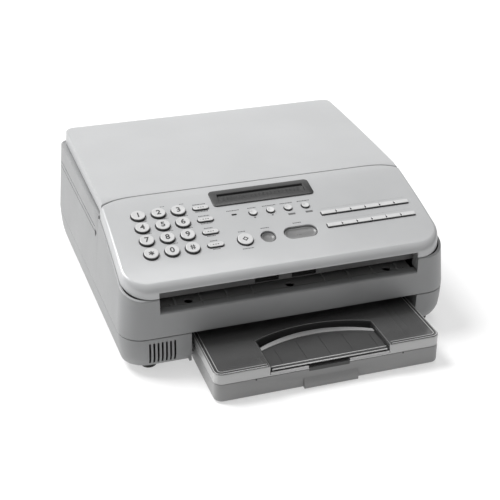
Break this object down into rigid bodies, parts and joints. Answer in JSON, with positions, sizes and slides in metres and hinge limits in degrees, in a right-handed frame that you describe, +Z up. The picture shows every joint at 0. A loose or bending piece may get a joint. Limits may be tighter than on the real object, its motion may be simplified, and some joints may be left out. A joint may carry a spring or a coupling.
{
  "type": "fax machine",
  "caption": "Desktop fax machine with a sloping hinged control panel, a flat rear cover, a front document slot and a sliding paper cassette under a smoked cover.",
  "frame": {"origin": "centre of the footprint's bounding box at the feet's underside, with the cassette pushed in", "axes": "+Z up, +X to the right as the user faces the front, +Y from the front towards the rear"},
  "size_m": [0.3754, 0.421, 0.1474],
  "materials": {
    "housing_plastic": "light grey textured moulding",
    "base_plastic": "mid grey textured moulding",
    "panel_plastic": "pale silver-grey satin moulding",
    "cover_plastic": "pale grey satin moulding",
    "key_plastic": "pale grey key caps",
    "grey_key_plastic": "darker grey key caps",
    "dark_plastic": "near-black satin",
    "display_glass": "dark grey liquid-crystal window",
    "guide_plastic": "dark grey moulding",
    "cassette_plastic": "grey moulding",
    "smoked_plastic": "clear smoked moulding",
    "plate_plastic": "pale grey plate",
    "gear_plastic": "off-white acetal",
    "roller_rubber": "ground black rubber",
    "bare_metal": "plain metal case",
    "circuit_board": "green solder mask"
  },
  "bodies": {
    "root": {"base_chassis": "base_plastic", "main_housing": "housing_plastic", "lower_document_guide": "guide_plastic", "image_sensor": "guide_plastic", "main_board": "circuit_board", "power_supply": "bare_metal", "drive_motor": "bare_metal", "power_inlet": "dark_plastic", "line_jack": "dark_plastic", "print_cartridge": "dark_plastic"},
    "panel": {"control_panel": "panel_plastic", "display_bezel": "dark_plastic", "display_module": "display_glass", "panel_board": "circuit_board", "upper_document_guide": "guide_plastic"},
    "cover": {"top_cover": "cover_plastic"},
    "cassette": {"paper_cassette": "cassette_plastic", "cassette_cover": "smoked_plastic"},
    "stopper": {"paper_stopper": "smoked_plastic"},
    "lift_plate": {"paper_lift_plate": "plate_plastic"},
    "feed_roller": {"document_feed_roller": "roller_rubber"},
    "exit_roller": {"document_exit_roller": "roller_rubber"},
    "idler": {"roller_drive_gear": "gear_plastic"},
    "platen": {"platen_roller": "roller_rubber"},
    "pickup": {"pickup_roller": "roller_rubber"},
    "key_1_body": {"key_1": "key_plastic"},
    "key_2_body": {"key_2": "key_plastic"},
    "key_3_body": {"key_3": "key_plastic"},
    "key_4_body": {"key_4": "key_plastic"},
    "key_5_body": {"key_5": "key_plastic"},
    "key_6_body": {"key_6": "key_plastic"},
    "key_7_body": {"key_7": "key_plastic"},
    "key_8_body": {"key_8": "key_plastic"},
    "key_9_body": {"key_9": "key_plastic"},
    "key_star_body": {"key_star": "key_plastic"},
    "key_0_body": {"key_0": "key_plastic"},
    "key_hash_body": {"key_hash": "key_plastic"},
    "side_key_1_body": {"side_key_1": "key_plastic"},
    "side_key_2_body": {"side_key_2": "key_plastic"},
    "side_key_3_body": {"side_key_3": "key_plastic"},
    "side_key_4_body": {"side_key_4": "key_plastic"},
    "function_key_1_body": {"function_key_1": "key_plastic"},
    "function_key_2_body": {"function_key_2": "key_plastic"},
    "function_key_3_body": {"function_key_3": "key_plastic"},
    "function_key_4_body": {"function_key_4": "key_plastic"},
    "memory_key_body": {"memory_key": "key_plastic"},
    "reset_key_body": {"reset_key": "grey_key_plastic"},
    "start_key_body": {"start_key": "grey_key_plastic"},
    "one_touch_key_01_body": {"one_touch_key_01": "key_plastic"},
    "one_touch_key_02_body": {"one_touch_key_02": "key_plastic"},
    "one_touch_key_03_body": {"one_touch_key_03": "key_plastic"},
    "one_touch_key_04_body": {"one_touch_key_04": "key_plastic"},
    "one_touch_key_05_body": {"one_touch_key_05": "key_plastic"},
    "one_touch_key_06_body": {"one_touch_key_06": "key_plastic"},
    "one_touch_key_07_body": {"one_touch_key_07": "key_plastic"},
    "one_touch_key_08_body": {"one_touch_key_08": "key_plastic"},
    "one_touch_key_09_body": {"one_touch_key_09": "key_plastic"},
    "one_touch_key_10_body": {"one_touch_key_10": "key_plastic"},
    "one_touch_key_11_body": {"one_touch_key_11": "key_plastic"},
    "one_touch_key_12_body": {"one_touch_key_12": "key_plastic"}
  },
  "joints": [
    {"name": "panel_hinge", "type": "hinge", "parent": "root", "child": "panel", "pos_m": [0, -0.016, 0.137], "axis": [-1, 0, 0], "range_deg": [0, 35]},
    {"name": "cover_hinge", "type": "hinge", "parent": "root", "child": "cover", "pos_m": [0, 0.2085, 0.1316], "axis": [-1, 0, 0], "range_deg": [0, 65]},
    {"name": "cassette_slide", "type": "slide", "parent": "root", "child": "cassette", "axis": [0, -1, 0], "range_m": [0, 0.24]},
    {"name": "stopper_hinge", "type": "hinge", "parent": "cassette", "child": "stopper", "pos_m": [0.0165, -0.2045, 0.0279], "axis": [1, 0, 0], "range_deg": [0, 115]},
    {"name": "lift_plate_hinge", "type": "hinge", "parent": "cassette", "child": "lift_plate", "pos_m": [0.0165, -0.1795, 0.0052], "axis": [1, 0, 0], "range_deg": [0, 3.4]},
    {"name": "feed_roller_spin", "type": "hinge", "parent": "root", "child": "feed_roller", "pos_m": [0, -0.0775, 0.0676], "axis": [1, 0, 0], "continuous": true},
    {"name": "exit_roller_spin", "type": "hinge", "parent": "root", "child": "exit_roller", "pos_m": [0, -0.0215, 0.0704], "axis": [1, 0, 0], "continuous": true},
    {"name": "idler_spin", "type": "hinge", "parent": "root", "child": "idler", "pos_m": [0.144, -0.0495, 0.069], "axis": [1, 0, 0], "continuous": true},
    {"name": "platen_spin", "type": "hinge", "parent": "root", "child": "platen", "pos_m": [0.0165, 0.0745, 0.104], "axis": [1, 0, 0], "continuous": true},
    {"name": "pickup_spin", "type": "hinge", "parent": "root", "child": "pickup", "pos_m": [0.0165, 0.0865, 0.0334], "axis": [1, 0, 0], "continuous": true},
    {"name": "key_1_press", "type": "slide", "parent": "panel", "child": "key_1_body", "axis": [0, 0.2517, -0.9678], "range_m": [0, 0.0015], "stiffness_N_per_m": 250},
    {"name": "key_2_press", "type": "slide", "parent": "panel", "child": "key_2_body", "axis": [0, 0.2517, -0.9678], "range_m": [0, 0.0015], "stiffness_N_per_m": 250},
    {"name": "key_3_press", "type": "slide", "parent": "panel", "child": "key_3_body", "axis": [0, 0.2517, -0.9678], "range_m": [0, 0.0015], "stiffness_N_per_m": 250},
    {"name": "key_4_press", "type": "slide", "parent": "panel", "child": "key_4_body", "axis": [0, 0.2715, -0.9624], "range_m": [0, 0.0015], "stiffness_N_per_m": 250},
    {"name": "key_5_press", "type": "slide", "parent": "panel", "child": "key_5_body", "axis": [0, 0.2715, -0.9624], "range_m": [0, 0.0015], "stiffness_N_per_m": 250},
    {"name": "key_6_press", "type": "slide", "parent": "panel", "child": "key_6_body", "axis": [0, 0.2715, -0.9624], "range_m": [0, 0.0015], "stiffness_N_per_m": 250},
    {"name": "key_7_press", "type": "slide", "parent": "panel", "child": "key_7_body", "axis": [0, 0.2912, -0.9567], "range_m": [0, 0.0015], "stiffness_N_per_m": 250},
    {"name": "key_8_press", "type": "slide", "parent": "panel", "child": "key_8_body", "axis": [0, 0.2912, -0.9567], "range_m": [0, 0.0015], "stiffness_N_per_m": 250},
    {"name": "key_9_press", "type": "slide", "parent": "panel", "child": "key_9_body", "axis": [0, 0.2912, -0.9567], "range_m": [0, 0.0015], "stiffness_N_per_m": 250},
    {"name": "key_star_press", "type": "slide", "parent": "panel", "child": "key_star_body", "axis": [0, 0.3108, -0.9505], "range_m": [0, 0.0015], "stiffness_N_per_m": 250},
    {"name": "key_0_press", "type": "slide", "parent": "panel", "child": "key_0_body", "axis": [0, 0.3108, -0.9505], "range_m": [0, 0.0015], "stiffness_N_per_m": 250},
    {"name": "key_hash_press", "type": "slide", "parent": "panel", "child": "key_hash_body", "axis": [0, 0.3108, -0.9505], "range_m": [0, 0.0015], "stiffness_N_per_m": 250},
    {"name": "side_key_1_press", "type": "slide", "parent": "panel", "child": "side_key_1_body", "axis": [0, 0.2517, -0.9678], "range_m": [0, 0.0015], "stiffness_N_per_m": 250},
    {"name": "side_key_2_press", "type": "slide", "parent": "panel", "child": "side_key_2_body", "axis": [0, 0.2715, -0.9624], "range_m": [0, 0.0015], "stiffness_N_per_m": 250},
    {"name": "side_key_3_press", "type": "slide", "parent": "panel", "child": "side_key_3_body", "axis": [0, 0.2912, -0.9567], "range_m": [0, 0.0015], "stiffness_N_per_m": 250},
    {"name": "side_key_4_press", "type": "slide", "parent": "panel", "child": "side_key_4_body", "axis": [0, 0.3108, -0.9505], "range_m": [0, 0.0015], "stiffness_N_per_m": 250},
    {"name": "function_key_1_press", "type": "slide", "parent": "panel", "child": "function_key_1_body", "axis": [0, 0.2707, -0.9627], "range_m": [0, 0.0015], "stiffness_N_per_m": 250},
    {"name": "function_key_2_press", "type": "slide", "parent": "panel", "child": "function_key_2_body", "axis": [0, 0.2707, -0.9627], "range_m": [0, 0.0015], "stiffness_N_per_m": 250},
    {"name": "function_key_3_press", "type": "slide", "parent": "panel", "child": "function_key_3_body", "axis": [0, 0.2707, -0.9627], "range_m": [0, 0.0015], "stiffness_N_per_m": 250},
    {"name": "function_key_4_press", "type": "slide", "parent": "panel", "child": "function_key_4_body", "axis": [0, 0.2707, -0.9627], "range_m": [0, 0.0015], "stiffness_N_per_m": 250},
    {"name": "memory_key_press", "type": "slide", "parent": "panel", "child": "memory_key_body", "axis": [0, 0.3094, -0.9509], "range_m": [0, 0.0015], "stiffness_N_per_m": 250},
    {"name": "reset_key_press", "type": "slide", "parent": "panel", "child": "reset_key_body", "axis": [0, 0.309, -0.9511], "range_m": [0, 0.0015], "stiffness_N_per_m": 250},
    {"name": "start_key_press", "type": "slide", "parent": "panel", "child": "start_key_body", "axis": [0, 0.3089, -0.9511], "range_m": [0, 0.0015], "stiffness_N_per_m": 250},
    {"name": "one_touch_key_01_press", "type": "slide", "parent": "panel", "child": "one_touch_key_01_body", "axis": [0, 0.2871, -0.9579], "range_m": [0, 0.0015], "stiffness_N_per_m": 250},
    {"name": "one_touch_key_02_press", "type": "slide", "parent": "panel", "child": "one_touch_key_02_body", "axis": [0, 0.2871, -0.9579], "range_m": [0, 0.0015], "stiffness_N_per_m": 250},
    {"name": "one_touch_key_03_press", "type": "slide", "parent": "panel", "child": "one_touch_key_03_body", "axis": [0, 0.2871, -0.9579], "range_m": [0, 0.0015], "stiffness_N_per_m": 250},
    {"name": "one_touch_key_04_press", "type": "slide", "parent": "panel", "child": "one_touch_key_04_body", "axis": [0, 0.2871, -0.9579], "range_m": [0, 0.0015], "stiffness_N_per_m": 250},
    {"name": "one_touch_key_05_press", "type": "slide", "parent": "panel", "child": "one_touch_key_05_body", "axis": [0, 0.2871, -0.9579], "range_m": [0, 0.0015], "stiffness_N_per_m": 250},
    {"name": "one_touch_key_06_press", "type": "slide", "parent": "panel", "child": "one_touch_key_06_body", "axis": [0, 0.2871, -0.9579], "range_m": [0, 0.0015], "stiffness_N_per_m": 250},
    {"name": "one_touch_key_07_press", "type": "slide", "parent": "panel", "child": "one_touch_key_07_body", "axis": [0, 0.3068, -0.9518], "range_m": [0, 0.0015], "stiffness_N_per_m": 250},
    {"name": "one_touch_key_08_press", "type": "slide", "parent": "panel", "child": "one_touch_key_08_body", "axis": [0, 0.3068, -0.9518], "range_m": [0, 0.0015], "stiffness_N_per_m": 250},
    {"name": "one_touch_key_09_press", "type": "slide", "parent": "panel", "child": "one_touch_key_09_body", "axis": [0, 0.3068, -0.9518], "range_m": [0, 0.0015], "stiffness_N_per_m": 250},
    {"name": "one_touch_key_10_press", "type": "slide", "parent": "panel", "child": "one_touch_key_10_body", "axis": [0, 0.3068, -0.9518], "range_m": [0, 0.0015], "stiffness_N_per_m": 250},
    {"name": "one_touch_key_11_press", "type": "slide", "parent": "panel", "child": "one_touch_key_11_body", "axis": [0, 0.3068, -0.9518], "range_m": [0, 0.0015], "stiffness_N_per_m": 250},
    {"name": "one_touch_key_12_press", "type": "slide", "parent": "panel", "child": "one_touch_key_12_body", "axis": [0, 0.3068, -0.9518], "range_m": [0, 0.0015], "stiffness_N_per_m": 250}
  ],
  "couplings": [
    {"joint": "exit_roller_spin", "follows": "feed_roller_spin", "ratio": 1},
    {"joint": "idler_spin", "follows": "feed_roller_spin", "ratio": -0.75}
  ]
}
